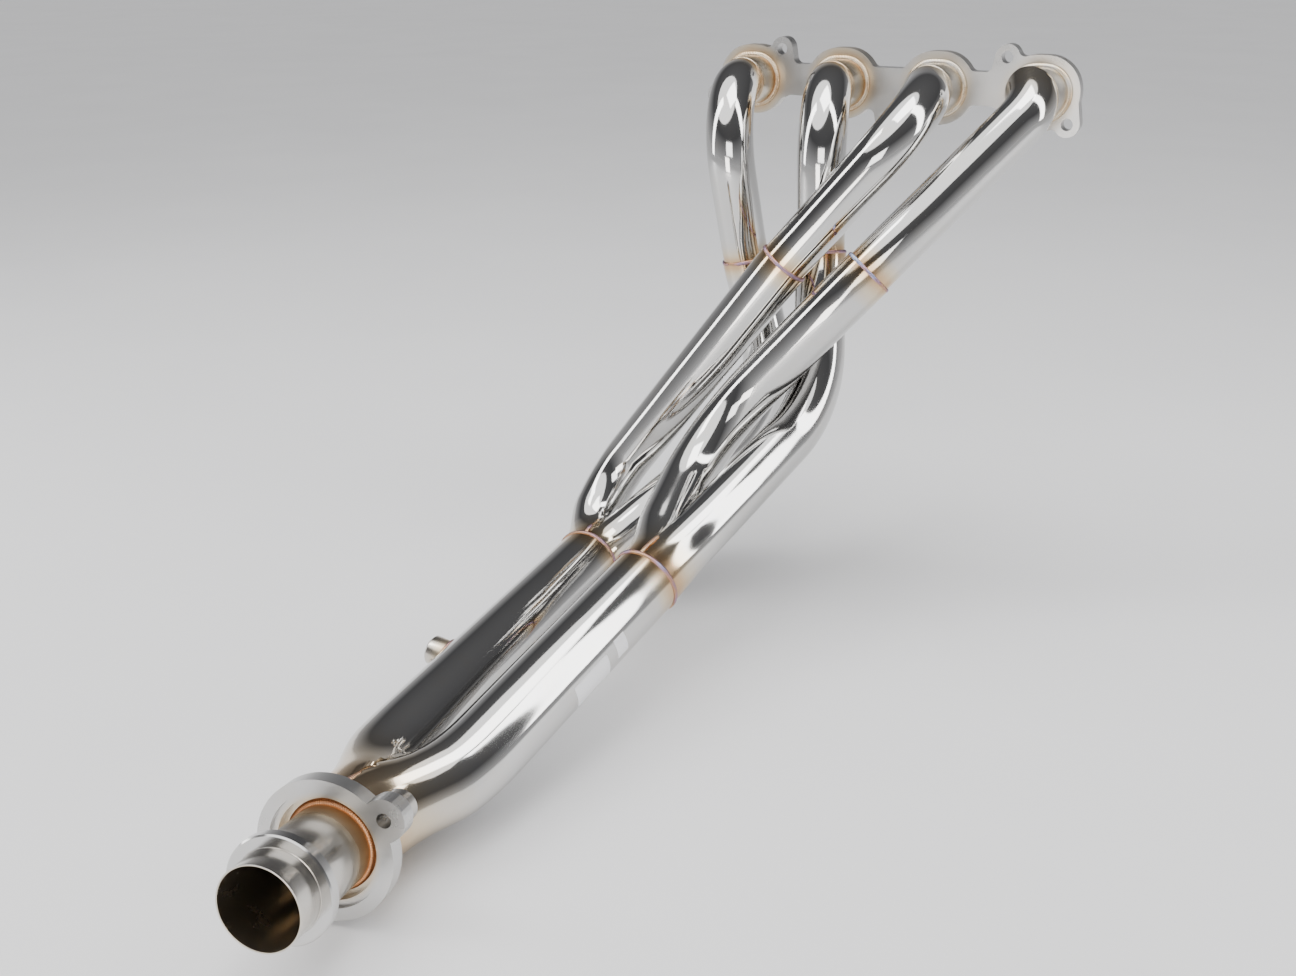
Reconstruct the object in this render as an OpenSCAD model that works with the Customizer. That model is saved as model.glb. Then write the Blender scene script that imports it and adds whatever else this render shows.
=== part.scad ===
// Four-into-two-into-one tubular exhaust manifold.
// Origin: centre of the head flange's mounting face. The face looks along +Y, +Z is up,
// and the ports run along X from port 1 at -X to port 4 at +X.

/* [Head flange] */
// Distance between neighbouring port centres
port_pitch = 94; // [80:1:120]
// Thickness of the head flange plate
flange_t = 12; // [8:0.5:16]
// Radius of the plate's lobe round each port
lobe_r = 32; // [30:0.5:38]
// Radius of each port opening
port_r = 20.5; // [16:0.5:21]
// Half of the port opening's extra width along the port line
port_spread = 4; // [0:0.5:6]
// Diameter of the stud holes
stud_hole_d = 10.5; // [8:0.25:12]
// Radius of the plate round each stud hole
stud_lobe_r = 11; // [9:0.5:14]
// Height of the two upper stud holes above the port line
upper_stud_z = 29; // [26:0.5:36]
// Distance of each upper stud hole from the plate's centre
upper_stud_x = 110; // [100:1:125]
// Distance of the left lower stud hole outward from port 1
left_stud_x = 40; // [34:1:48]
// Depth of the left lower stud hole below the port line
left_stud_z = 17; // [12:1:26]
// Distance of the right lower stud hole outward from port 4
right_stud_x = 28; // [26:1:40]
// Depth of the right lower stud hole below the port line
right_stud_z = 25; // [20:1:32]
// Depth of the middle stud hole below the port line
middle_stud_z = 28; // [26:1:34]

/* [Primary tubes] */
// Outer diameter of the upper primaries
upper_d = 44.45; // [38:0.05:46]
// Outer diameter of the lower primaries
lower_d = 47.6; // [47:0.05:52]
// Wall of every tube
wall = 1.6; // [1.2:0.1:2.5]
// Wall of the port stubs where they meet the plate
stub_wall = 2.2; // [1.6:0.1:3]
// Distance that the port stubs stand out from the plate
stub_len = 24; // [18:1:32]

/* [Secondary tubes] */
// Outer diameter of the two secondaries
secondary_d = 60.3; // [54:0.1:64]

/* [Outlet] */
// Outer diameter of the outlet spigot
spigot_d = 60.3; // [54:0.1:64]
// Distance from the outlet flange's front face to the spigot's rim
spigot_reach = 73; // [60:1:95]
// Distance that the spigot stands out behind the outlet flange
spigot_lip = 2; // [1:0.5:4]
// Outer diameter of the gasket collar
collar_d = 76; // [70:1:90]
// Width of the gasket collar
collar_w = 9; // [6:0.5:14]
// Distance from the collar's front face to the spigot's rim
nose_len = 21; // [12:1:30]
// Depth by which the spigot is turned down in front of the collar
nose_cut = 0.5; // [0.2:0.1:0.8]
// Thickness of the outlet flange
outlet_flange_t = 12; // [8:0.5:16]
// Radius of the outlet flange's round body
outlet_body_r = 50.5; // [46:0.5:56]
// Distance from the spigot's axis to each outlet bolt hole
outlet_bolt_r = 53; // [50:0.5:63]
// Diameter of the outlet bolt holes
outlet_hole_d = 10.5; // [8:0.25:12]
// Radius of the outlet flange's bolt lobes
outlet_lobe_r = 15; // [13:0.5:18]
// Radius of the wide counterbore in the outlet flange
counterbore_r = 41.5; // [39:0.5:43]
// Depth of the wide counterbore
counterbore_depth = 3; // [2:0.5:5]
// Radius of the deep recess round the spigot
recess_r = 37; // [35.5:0.5:38.5]
// Thickness of the web that is left behind the recess
web_t = 3; // [2:0.5:5]
// Height of the round nuts welded behind the outlet flange
nut_h = 12; // [8:1:16]

/* [Oxygen sensor bung] */
// Outer diameter of the bung
bung_d = 25; // [22:0.5:28]
// Height of the bung above the tube
bung_h = 15; // [12:0.5:20]
// Distance of the bung from the secondary's mouth
bung_along = 188; // [120:1:230]
// Diameter of the bung's threaded hole
bung_hole_d = 16.4; // [14:0.1:18]

/* [Hidden] */
$fn = 48;
// Clearance between pieces that slide or seat on each other
fit = 0.1;
// Overshoot of a cut beyond the face that it opens
over = 1;
// Radius of the weld beads
bead_r = 2.2;
// Flats round a swept tube
sides = 20;
// Turn between two rings of a swept bend
bend_step = 18;

// Port centres, from port 1 to port 4
port_x = [for (i = [-1.5:1.5]) i * port_pitch];
upper_r = upper_d / 2;
lower_r = lower_d / 2;
secondary_r = secondary_d / 2;
spigot_r = spigot_d / 2;

// Where the mouth of each secondary is, and the way the secondary leaves it
left_mouth = [-159, -314, -405];
right_mouth = [-45, -392, -356];
left_bend = [-137, -619, -418];
right_bend = [-66, -610, -408];
// Distance of each primary's end from its mouth's centre
mouth_spread = 6;
// Length over which two tubes are formed to share one mouth
form_len = 68;

// Outlet flange's front face centre and the way the spigot points
outlet_at = [-93, -726, -406];
outlet_dir = unit([0.245, -0.939, 0.242]);
outlet_back = outlet_at - outlet_flange_t * outlet_dir;
// Mouth of the collector, where the secondaries end, and the collector's two radii
collector_len = 28;
collector_mouth = outlet_back - collector_len * outlet_dir;
collector_dir = unit([-0.02, -1, -0.03]);
collector_side = unit(cross([0, 0, 1], collector_dir));
collector_spread = 15;
collector_r = 38;
collector_end_r = 36;
// Turn of the outlet bolt line about the spigot's axis
bolt_turn = 38;

left_dir = unit(left_bend - left_mouth);
right_dir = unit(right_bend - right_mouth);
left_side = unit(cross([0, 0, 1], left_dir));
right_side = unit(cross([0, 0, 1], right_dir));

// Corner points of the primaries. The knee is given from the end of the port's stub, and the step
// from the stubs' middle, where it follows a share of its port's distance along the port line.
stub_end = [for (x = port_x) [x, -flange_t - stub_len, 0]];
step_follow = 0.4;
step_from_middle = [[-49.6, -56, -157], [-1.2, -71, -138], [-51.8, -125, -138], [-6.4, -135, -136]];
knee_at = stub_end + [[22, -86, -5], [20, -67, -5], [21, -82, -8], [6, -17, -9]];
step_at = [for (i = [0:3]) [step_follow * port_x[i], -flange_t - stub_len, 0] + step_from_middle[i]];
lower_bend = [[-59, -101, -298], [7, -159, -271], [-201, -228, -381], [-84, -212, -298]];
primary_end = [left_mouth + mouth_spread * left_side, right_mouth + mouth_spread * right_side,
    left_mouth - mouth_spread * left_side, right_mouth - mouth_spread * right_side];
knee_r = [66, 66, 70, 35];
step_r = [150, 150, 300, 300];
lower_bend_r = [110, 110, 75, 110];
secondary_bend_r = 200;

PRIMARIES = [1, 2, 3, 4];

// Geometry helpers
function unit(v) = v / norm(v);
function turn(a, b) = acos(max(-1, min(1, unit(a) * unit(b))));
function mix(a, b, t) = a * (1 - t) + b * t;
function smooth(t) = t * t * (3 - 2 * t);
// Side that the direction at angle a points to: 1, -1, or 0 straight up and down
function toward(a) = abs(cos(a)) < 0.01 ? 0 : sign(cos(a));
function flat(v, n) = unit(v - (v * n) * n);

// Centre line of a bent tube: a list of [point, direction]
function bend_samples(corner, ua, ub, r) =
    let (angle = turn(ua, ub), side = unit(ub - ua * cos(angle)))
    let (centre = corner - ua * r * tan(angle / 2) + side * r)
    let (steps = max(1, ceil(angle / bend_step)))
    [for (k = [0:steps]) let (t = angle * k / steps)
        [centre + r * (ua * sin(t) - side * cos(t)), ua * cos(t) + side * sin(t)]];
function centre_line(path, bends) =
    let (n = len(path) - 1, u = [for (i = [0:n - 1]) unit(path[i + 1] - path[i])])
    concat([[path[0], u[0]]],
        [for (i = [1:n - 1]) each bend_samples(path[i], u[i - 1], u[i], bends[i - 1])],
        [[path[n], u[n - 1]]]);
// The same line with three more stations on its last straight, for a tube that is formed there
function with_stations(line) =
    let (n = len(line) - 1, end = line[n][0], u = line[n][1])
    let (reach = min(form_len, 0.95 * norm(end - line[n - 1][0])))
    concat([for (i = [0:n - 1]) line[i]], [for (k = [3:-1:1]) [end - reach * k / 3 * u, u]], [line[n]]);
function frames(line, x, i = 0) = i == len(line) ? []
    : let (z = line[i][1], side = flat(x, z))
    concat([[line[i][0], side, cross(z, side), z]], frames(line, side, i + 1));
function round_ring(f, r) =
    [for (j = [0:sides - 1]) f[0] + r * (cos(360 * j / sides) * f[1] + sin(360 * j / sides) * f[2])];
// Slides a ring's points along a direction onto the plane [point, normal]
function onto_plane(points, u, plane) =
    [for (q = points) q + u * ((plane[0] - q) * plane[1]) / (u * plane[1])];
// Forms a round tube's points to one half of a mouth that two tubes share. The mouth is
// [centre, direction, side, radius, spread], and the tube lies on the minus side of it. Points
// beyond the mouth's middle plane are pushed back onto it, then share of the way to a half circle.
function formed(points, mouth, tube_r, inset, share) =
    let (gap = fit + inset, r = mouth[3] - inset, across = sqrt(pow(tube_r, 2) - pow(mouth[4] - gap, 2)))
    [for (q = points) let (v = q - mouth[0], a = v * mouth[2])
        let (flat_v = a > -gap ? v - (a + gap) * mouth[2] : v, along = (v * mouth[1]) * mouth[1])
        let (radial = flat_v - along, height = radial - (radial * mouth[2]) * mouth[2])
        let (half = a > -gap ? height * r / across - gap * mouth[2] : radial * r / norm(radial))
        mouth[0] + along + mix(radial, half, share)];

// Joins a closed run of rings, each with the same number of points, into one solid
module skin(rings, closed = true)
{
    s = len(rings[0]);
    n = len(rings);
    runs = closed ? n - 1 : n - 2;
    function at(i, j) = (i % n) * s + (j % s);
    side_faces = [for (i = [0:runs], j = [0:s - 1])
        each [[at(i, j), at(i + 1, j), at(i + 1, j + 1)], [at(i, j), at(i + 1, j + 1), at(i, j + 1)]]];
    caps = closed ? [] : [[for (j = [0:s - 1]) j], [for (j = [s - 1:-1:0]) (n - 1) * s + j]];
    polyhedron(points = [for (r = rings) each r], faces = concat(side_faces, caps), convexity = 8);
}
// A hollow tube along a centre line; its two ends are cut on the planes start_cut and end_cut,
// it starts with radius start_r, and its last stretch is formed to one half of the mouth
module tube(line, r, start_cut = undef, end_cut = undef, mouth = undef, start_r = undef)
{
    f = frames(line, [0.31, 0.2, 0.93]);
    n = len(f) - 1;
    function left_over(i) = norm(f[n][0] - f[i][0]);
    function ring(i, inset) =
        let (rr = (i == 0 && !is_undef(start_r) ? start_r : r) - inset, p = round_ring(f[i], rr))
        let (cut = i == 0 && !is_undef(start_cut) ? onto_plane(p, f[i][3], start_cut)
            : i == n && !is_undef(end_cut) ? onto_plane(p, f[i][3], end_cut) : p)
        is_undef(mouth) || left_over(i) > form_len + fit ? cut
            : formed(cut, mouth, rr, inset, smooth(max(0, 1 - left_over(i) / form_len)));
    outer = [for (i = [0:n]) ring(i, 0)];
    inner = [for (i = [n:-1:0]) ring(i, wall)];
    skin(concat(outer, inner));
}
// Puts a piece's +Z along dir at point p, with its +X towards side
module facing(p, dir, side = [1, 0, 0])
{
    z = unit(dir);
    x = flat(side, z);
    y = cross(z, x);
    multmatrix([[x[0], y[0], z[0], p[0]], [x[1], y[1], z[1], p[1]],
        [x[2], y[2], z[2], p[2]], [0, 0, 0, 1]]) children();
}
// A slot outline: two half-circles of radius r, each spread from the centre
module slot_outline(r, spread)
{
    for (s = [-1, 1]) translate([s * spread, 0]) circle(r = r);
    square([2 * spread, 2 * r], center = true);
}

// Head flange
upper_studs = [[-upper_stud_x, upper_stud_z], [upper_stud_x, upper_stud_z]];
left_stud = [port_x[0] - left_stud_x, -left_stud_z];
right_stud = [port_x[3] + right_stud_x, -right_stud_z];
middle_stud = [0, -middle_stud_z];
studs = concat(upper_studs, [left_stud, right_stud, middle_stud]);
// Lowest and highest edge of the bar that joins the lobes
bar_low = -13;
bar_high = 16;
// Radius and place of the plate's root under each stud hole
root_r = 16;
root_in = 18;
// Radius of the plate's inner corners
corner_r = 6;
module stud_web(stud, root)
{
    hull()
    {
        translate(stud) circle(r = stud_lobe_r, $fn = 32);
        translate(root) circle(r = root_r, $fn = 32);
    }
}
module flange_outline()
{
    for (x = port_x) translate([x, 0]) slot_outline(lobe_r, port_spread);
    translate([port_x[0], bar_low]) square([port_x[3] - port_x[0], bar_high - bar_low]);
    for (s = upper_studs) stud_web(s, [s[0], 0]);
    stud_web(left_stud, [port_x[0] - root_in, 0]);
    stud_web(right_stud, [port_x[3] + root_in, 0]);
    stud_web(middle_stud, [0, 0]);
}
module head_flange()
{
    color("silver") rotate([90, 0, 0]) difference()
    {
        linear_extrude(flange_t) offset(r = -corner_r) offset(delta = corner_r) flange_outline();
        for (x = port_x) translate([x, 0, -over]) linear_extrude(flange_t + 2 * over)
            slot_outline(port_r, port_spread);
        for (s = studs) translate([s[0], s[1], -over]) cylinder(h = flange_t + 2 * over, d = stud_hole_d);
    }
}

// Port stubs: a slot outline at the plate, round where the primary starts
primary_line = [for (i = [0:3]) centre_line([stub_end[i], knee_at[i], step_at[i], lower_bend[i],
    primary_end[i]], [knee_r[i], step_r[i], lower_bend_r[i]])];
mouth_r = port_r + stub_wall;
module port_stub(i)
{
    steps = 5;
    function station(k, inset) =
        let (t = k / steps, r = mix(mouth_r, upper_r, smooth(t)) - inset, spread = port_spread * (1 - t))
        [for (j = [0:sides - 1]) let (a = 360 * j / sides)
            [port_x[i] + r * cos(a) + spread * toward(a), -flange_t - stub_len * t, r * sin(a)]];
    color("tan") skin(concat([for (k = [0:steps]) station(k, 0)],
        [for (k = [steps:-1:0]) station(k, mix(stub_wall, wall, k / steps))]));
}
// A bead's section, as [distance from the joint, height]
bead = [[fit, 0], [bead_r * 1.6, 0], [bead_r * 1.25, bead_r * 0.7], [bead_r * 0.7, bead_r * 1.2],
    [fit, bead_r * 1.5]];
// A ring of that section round a slot outline; saddle_r is the radius of a tube along X that it
// sits on, where its base follows the tube
module bead_ring(r, spread = 0, saddle_r = 0)
{
    count = 36;
    function drop(y) = saddle_r > 0 ? sqrt(pow(saddle_r, 2) - y * y) : 0;
    skin([for (k = [count:-1:1]) let (a = 360 * k / count)
        [for (q = bead) let (y = (r + q[0]) * sin(a))
            [(r + q[0]) * cos(a) + spread * toward(a), y, drop(y) + q[1]]]]);
}
module port_weld(i)
{
    color("sandybrown") facing([port_x[i], -flange_t, 0], [0, -1, 0]) bead_ring(mouth_r + fit, port_spread);
}

// Primaries
// Index of the centre line's sample at the step, which splits upper from lower
function step_index(i) = let (line = primary_line[i])
    [for (k = [0:len(line) - 1]) if (line[k][0][2] < step_at[i][2]) k][0];
function step_point(i) = let (line = primary_line[i], k = step_index(i), a = line[k - 1], b = line[k])
    let (t = (step_at[i][2] - a[0][2]) / (b[0][2] - a[0][2]))
    [mix(a[0], b[0], t), unit(mix(a[1], b[1], t))];
module upper_primary(i)
{
    line = concat([for (k = [0:step_index(i) - 1]) primary_line[i][k]], [step_point(i)]);
    color("lightsteelblue") tube(line, upper_r, [line[0][0], [0, -1, 0]], step_point(i));
}
// The lower primary starts where its bore fits the upper primary's outside
module lower_primary(i)
{
    below = [for (k = [step_index(i):len(primary_line[i]) - 1]) primary_line[i][k]];
    left = i == 0 || i == 2;
    at = left ? left_mouth : right_mouth;
    dir = left ? left_dir : right_dir;
    side = (i < 2 ? -1 : 1) * (left ? left_side : right_side);
    line = with_stations(concat([step_point(i)], below));
    color("lightsteelblue") tube(line, lower_r, step_point(i), [at, dir],
        [at, dir, side, secondary_r, mouth_spread], upper_r + wall);
}
module step_weld(i)
{
    s = step_point(i);
    color("plum") facing(s[0], -s[1]) bead_ring(upper_r);
}

module merge_weld_left()
{
    color("plum") facing(left_mouth, left_dir, left_side) bead_ring(secondary_r);
}
module merge_weld_right()
{
    color("plum") facing(right_mouth, right_dir, right_side) bead_ring(secondary_r);
}

// Secondaries
module secondary(start, dir, bend, sign)
{
    end = collector_mouth + sign * collector_spread * collector_side;
    line = with_stations(centre_line([start, bend, end], [secondary_bend_r]));
    color("lightsteelblue") tube(line, secondary_r, [start, dir], [collector_mouth, collector_dir],
        [collector_mouth, collector_dir, -sign * collector_side, collector_r, collector_spread]);
}
module secondary_left()
{
    difference()
    {
        secondary(left_mouth, left_dir, left_bend, -1);
        color("lightsteelblue") facing(bung_base, bung_dir) cylinder(h = 2 * secondary_r, d = bung_hole_d);
    }
}
module secondary_right() { secondary(right_mouth, right_dir, right_bend, 1); }
// Round collector that turns from the secondaries' mouth to the outlet flange
module collector()
{
    steps = 5;
    h = collector_len / 3;
    a = collector_mouth + h * collector_dir;
    b = outlet_back - h * outlet_dir;
    function station(k, inset) =
        let (t = k / steps, d = unit(mix(collector_dir, outlet_dir, smooth(t))))
        let (r = mix(collector_r, collector_end_r, t), x = flat(collector_side, d), y = cross(d, x))
        let (c = collector_mouth * pow(1 - t, 3) + a * 3 * t * pow(1 - t, 2) + b * 3 * t * t * (1 - t)
            + outlet_back * pow(t, 3))
        round_ring([c, x, y], r - inset);
    color("lightsteelblue")
        skin(concat([for (k = [0:steps]) station(k, 0)], [for (k = [steps:-1:0]) station(k, wall)]));
}

// Outlet
module at_bolts() { for (s = [-1, 1]) translate([s * outlet_bolt_r, 0, 0]) children(); }
module outlet_flange()
{
    color("gainsboro") facing(outlet_back, outlet_dir) rotate([0, 0, bolt_turn]) difference()
    {
        linear_extrude(outlet_flange_t)
        {
            circle(r = outlet_body_r);
            hull() for (s = [-1, 1]) translate([s * outlet_bolt_r, 0]) circle(r = outlet_lobe_r, $fn = 32);
        }
        translate([0, 0, -over]) cylinder(h = outlet_flange_t + 2 * over, r = spigot_r + fit);
        translate([0, 0, web_t]) cylinder(h = outlet_flange_t, r = recess_r);
        translate([0, 0, outlet_flange_t - counterbore_depth])
            cylinder(h = outlet_flange_t, r = counterbore_r);
        translate([0, 0, -over]) at_bolts() cylinder(h = outlet_flange_t + 2 * over, d = outlet_hole_d);
    }
}
nut_r = outlet_lobe_r - 3;
nut_hole_d = outlet_hole_d - 1.5;
module outlet_nuts()
{
    color("silver") facing(outlet_back - nut_h * outlet_dir, outlet_dir) rotate([0, 0, bolt_turn])
        at_bolts() difference()
        {
            cylinder(h = nut_h, r = nut_r);
            translate([0, 0, -over]) cylinder(h = nut_h + 2 * over, d = nut_hole_d);
        }
}
spigot_len = spigot_lip + outlet_flange_t + spigot_reach;
module outlet_spigot()
{
    color("silver") facing(outlet_back - spigot_lip * outlet_dir, outlet_dir) difference()
    {
        union()
        {
            cylinder(h = spigot_len - nose_len, r = spigot_r);
            cylinder(h = spigot_len, r = spigot_r - nose_cut);
        }
        translate([0, 0, -over]) cylinder(h = spigot_len + 2 * over, r = spigot_r - wall);
    }
}
module outlet_weld()
{
    color("darkorange") facing(outlet_back + web_t * outlet_dir, outlet_dir) bead_ring(spigot_r);
}
collar_edge = 2;
module spigot_collar()
{
    collar_r = collar_d / 2;
    color("silver") facing(outlet_at + (spigot_reach - nose_len - collar_w) * outlet_dir, outlet_dir)
        rotate_extrude() polygon([[spigot_r + fit, 0], [collar_r - collar_edge, 0], [collar_r, collar_edge],
            [collar_r, collar_w - collar_edge / 2], [collar_r - collar_edge / 2, collar_w],
            [spigot_r + fit, collar_w]]);
}

// Oxygen sensor bung: a threaded boss whose foot is cut to the secondary's round
bung_base = left_mouth + bung_along * left_dir;
bung_dir = flat([-0.985, -0.078, 0.15], left_dir);
bung_edge = 1.5;
module oxygen_bung()
{
    bung_r = bung_d / 2;
    hole_r = bung_hole_d / 2;
    top = secondary_r + bung_h;
    foot = secondary_r - bung_edge - pow(bung_r, 2) / secondary_r / 2;
    color("silver") facing(bung_base, bung_dir, left_dir) difference()
    {
        rotate_extrude() polygon([[hole_r, foot], [bung_r, foot], [bung_r, top - bung_edge],
            [bung_r - bung_edge, top], [hole_r + bung_edge, top], [hole_r, top - bung_edge]]);
        rotate([0, 90, 0]) cylinder(h = 2 * bung_d, r = secondary_r + fit, center = true);
    }
}
module oxygen_bung_weld()
{
    color("plum") facing(bung_base, bung_dir, left_dir) bead_ring(bung_d / 2, saddle_r = secondary_r + fit);
}

for (k = PRIMARIES)
{
    port_stub(k - 1);
    port_weld(k - 1);
    upper_primary(k - 1);
    step_weld(k - 1);
    lower_primary(k - 1);
}
head_flange();
merge_weld_left();
merge_weld_right();
secondary_left();
secondary_right();
collector();
outlet_flange();
outlet_nuts();
outlet_spigot();
outlet_weld();
spigot_collar();
oxygen_bung();
oxygen_bung_weld();
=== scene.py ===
"""Looks of a four-into-two-into-one tubular exhaust manifold.

The frame's origin is the centre of the head flange's mounting face: +Y leaves that face, +X runs
along the ports from port 1 to port 4, and +Z is up. Lengths are metres; MM turns millimetres into them.
"""
import math
import random

import bpy
from mathutils import Matrix, Vector


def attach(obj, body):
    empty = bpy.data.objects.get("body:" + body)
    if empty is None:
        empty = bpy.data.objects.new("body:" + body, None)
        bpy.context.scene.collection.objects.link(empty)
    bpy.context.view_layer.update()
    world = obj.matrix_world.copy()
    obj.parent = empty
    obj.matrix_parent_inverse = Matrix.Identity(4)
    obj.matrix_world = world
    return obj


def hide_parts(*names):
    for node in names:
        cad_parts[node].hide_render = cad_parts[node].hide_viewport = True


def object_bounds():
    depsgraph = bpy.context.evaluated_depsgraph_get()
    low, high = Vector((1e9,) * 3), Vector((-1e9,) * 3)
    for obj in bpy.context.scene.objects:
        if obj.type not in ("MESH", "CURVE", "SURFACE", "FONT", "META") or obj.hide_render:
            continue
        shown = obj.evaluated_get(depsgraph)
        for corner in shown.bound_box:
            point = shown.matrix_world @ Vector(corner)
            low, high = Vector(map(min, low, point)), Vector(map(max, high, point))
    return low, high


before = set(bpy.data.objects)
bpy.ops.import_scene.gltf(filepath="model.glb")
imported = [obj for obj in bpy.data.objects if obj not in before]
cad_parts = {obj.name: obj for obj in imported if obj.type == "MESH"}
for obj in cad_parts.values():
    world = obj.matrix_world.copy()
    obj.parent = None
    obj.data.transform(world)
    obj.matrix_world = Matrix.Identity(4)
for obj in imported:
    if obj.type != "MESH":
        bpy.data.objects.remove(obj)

cad_lo, cad_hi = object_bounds()
MM = 0.001
BODY = "root"
UP = Vector((0, 0, 1))


def mm(x, y, z):
    return Vector((x, y, z)) * MM


def rgb(r, g, b):
    return (r, g, b, 1.0)


# ---------------------------------------------------------------- driving dimensions, as the CAD has them
PORT_PITCH = 94 * MM
FLANGE_T = 12 * MM
STUB_LEN = 24 * MM
PORT_R = 20.5 * MM
PORT_SPREAD = 4 * MM
STUB_WALL = 2.2 * MM
UPPER_R = 44.45 / 2 * MM
LOWER_R = 47.6 / 2 * MM
SECONDARY_R = 60.3 / 2 * MM
WALL = 1.6 * MM
SPIGOT_R = 60.3 / 2 * MM
SPIGOT_REACH = 73 * MM
SPIGOT_LIP = 2 * MM
NOSE_LEN = 21 * MM
NOSE_CUT = 0.5 * MM
OUTLET_T = 12 * MM
OUTLET_BOLT_R = 53 * MM
OUTLET_WEB = 3 * MM
NUT_R = 12 * MM
NUT_H = 12 * MM
NUT_HOLE_R = 4.5 * MM
BUNG_R = 12.5 * MM
BUNG_H = 15 * MM
BUNG_HOLE_R = 8.2 * MM
BUNG_ALONG = 188 * MM
BUNG_EDGE = 1.5 * MM
BUNG_TOWARD = Vector((-0.985, -0.078, 0.15))
THREAD_PITCH = 1.5 * MM
THREAD_DEPTH = 0.8 * MM
NUT_THREAD_DEPTH = 0.5 * MM
FIT = 0.1 * MM

LEFT_MOUTH = mm(-159, -314, -405)
RIGHT_MOUTH = mm(-45, -392, -356)
LEFT_BEND = mm(-137, -619, -418)
RIGHT_BEND = mm(-66, -610, -408)
MOUTH_SPREAD = 6 * MM
FORM_LEN = 68 * MM
# Two tubes stay pressed flat against each other a little further up, each less and less
PRESS_LEN = 98 * MM
PRESS_EASE = 0.25
OUTLET_AT = mm(-93, -726, -406)
OUTLET_DIR = Vector((0.245, -0.939, 0.242)).normalized()
OUTLET_BACK = OUTLET_AT - OUTLET_T * OUTLET_DIR
COLLECTOR_LEN = 28 * MM
COLLECTOR_MOUTH = OUTLET_BACK - COLLECTOR_LEN * OUTLET_DIR
COLLECTOR_DIR = Vector((-0.02, -1, -0.03)).normalized()
COLLECTOR_SPREAD = 15 * MM
COLLECTOR_R = 38 * MM
COLLECTOR_END_R = 36 * MM
BOLT_TURN = math.radians(38)
KNEE_FROM_STUB = [mm(22, -86, -5), mm(20, -67, -5), mm(21, -82, -8), mm(6, -17, -9)]
STEP_FOLLOW = 0.4
STEP_FROM_MIDDLE = [mm(-49.6, -56, -157), mm(-1.2, -71, -138), mm(-51.8, -125, -138), mm(-6.4, -135, -136)]
LOWER_BEND = [mm(-59, -101, -298), mm(7, -159, -271), mm(-201, -228, -381), mm(-84, -212, -298)]
KNEE_R = [66 * MM, 66 * MM, 70 * MM, 35 * MM]
STEP_R = [150 * MM, 150 * MM, 300 * MM, 300 * MM]
LOWER_BEND_R = [110 * MM, 110 * MM, 75 * MM, 110 * MM]
SECONDARY_BEND_R = 200 * MM

# How much heat tint each port shows: the first two are straw and brown, the last two nearly grey
PORT_HEAT = [1.0, 0.95, 0.45, 0.3]
SIDES = 96


# ---------------------------------------------------------------- geometry helpers
def mix(a, b, t):
    return a * (1 - t) + b * t


def smooth(t):
    t = max(0.0, min(1.0, t))
    return t * t * (3 - 2 * t)


def flat(v, n):
    """v made square to n, as a unit vector."""
    return (v - v.dot(n) * n).normalized()


LEFT_DIR = (LEFT_BEND - LEFT_MOUTH).normalized()
RIGHT_DIR = (RIGHT_BEND - RIGHT_MOUTH).normalized()
LEFT_SIDE = UP.cross(LEFT_DIR).normalized()
RIGHT_SIDE = UP.cross(RIGHT_DIR).normalized()
COLLECTOR_SIDE = UP.cross(COLLECTOR_DIR).normalized()


def centre_line(points, radii, step=math.radians(3), straight=12 * MM):
    """A bent tube's centre line as (point, direction): straights and true arcs, finely divided."""
    dirs = [(b - a).normalized() for a, b in zip(points, points[1:])]
    line = [(points[0], dirs[0])]

    def run_to(p, u):
        start = line[-1][0]
        count = max(1, math.ceil((p - start).length / straight))
        line.extend((start.lerp(p, k / count), u) for k in range(1, count + 1))

    for corner, ua, ub, r in zip(points[1:-1], dirs, dirs[1:], radii):
        angle = ua.angle(ub)
        side = (ub - ua * math.cos(angle)).normalized()
        first = corner - ua * r * math.tan(angle / 2)
        centre = first + side * r
        run_to(first, ua)
        count = max(1, math.ceil(angle / step))
        for k in range(1, count + 1):
            t = angle * k / count
            line.append((centre + r * (ua * math.sin(t) - side * math.cos(t)),
                         ua * math.cos(t) + side * math.sin(t)))
    run_to(points[-1], dirs[-1])
    return line


def frames_of(line, start=Vector((0.31, 0.2, 0.93))):
    """(point, x, y, direction) at each station, carried along without twist."""
    out = []
    x = start
    for point, z in line:
        x = flat(x, z)
        out.append((point, x, z.cross(x), z))
    return out


def onto_plane(q, u, point, normal):
    return q + u * ((point - q).dot(normal) / u.dot(normal))


def formed(q, mouth, tube_r, inset, share, ease=0.0):
    """Moves a point of a round tube towards one half of a mouth that two tubes share.

    No point stays nearer to the other tube than the mouth's middle plane, moved over by ease."""
    centre, direction, side, radius, spread = mouth
    gap = FIT / 2 + inset - ease
    r = radius - inset
    across = math.sqrt(tube_r ** 2 - (spread - gap) ** 2)
    v = q - centre
    beyond = v.dot(side) > -gap
    if beyond:
        v = v - (v.dot(side) + gap) * side
    along = v.dot(direction) * direction
    radial = v - along
    height = radial - radial.dot(side) * side
    half = height * r / across - gap * side if beyond else radial * r / radial.length
    return centre + along + mix(radial, half, share)


def arc_lengths(line):
    out = [0.0]
    for a, b in zip(line, line[1:]):
        out.append(out[-1] + (b[0] - a[0]).length)
    return out


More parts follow.
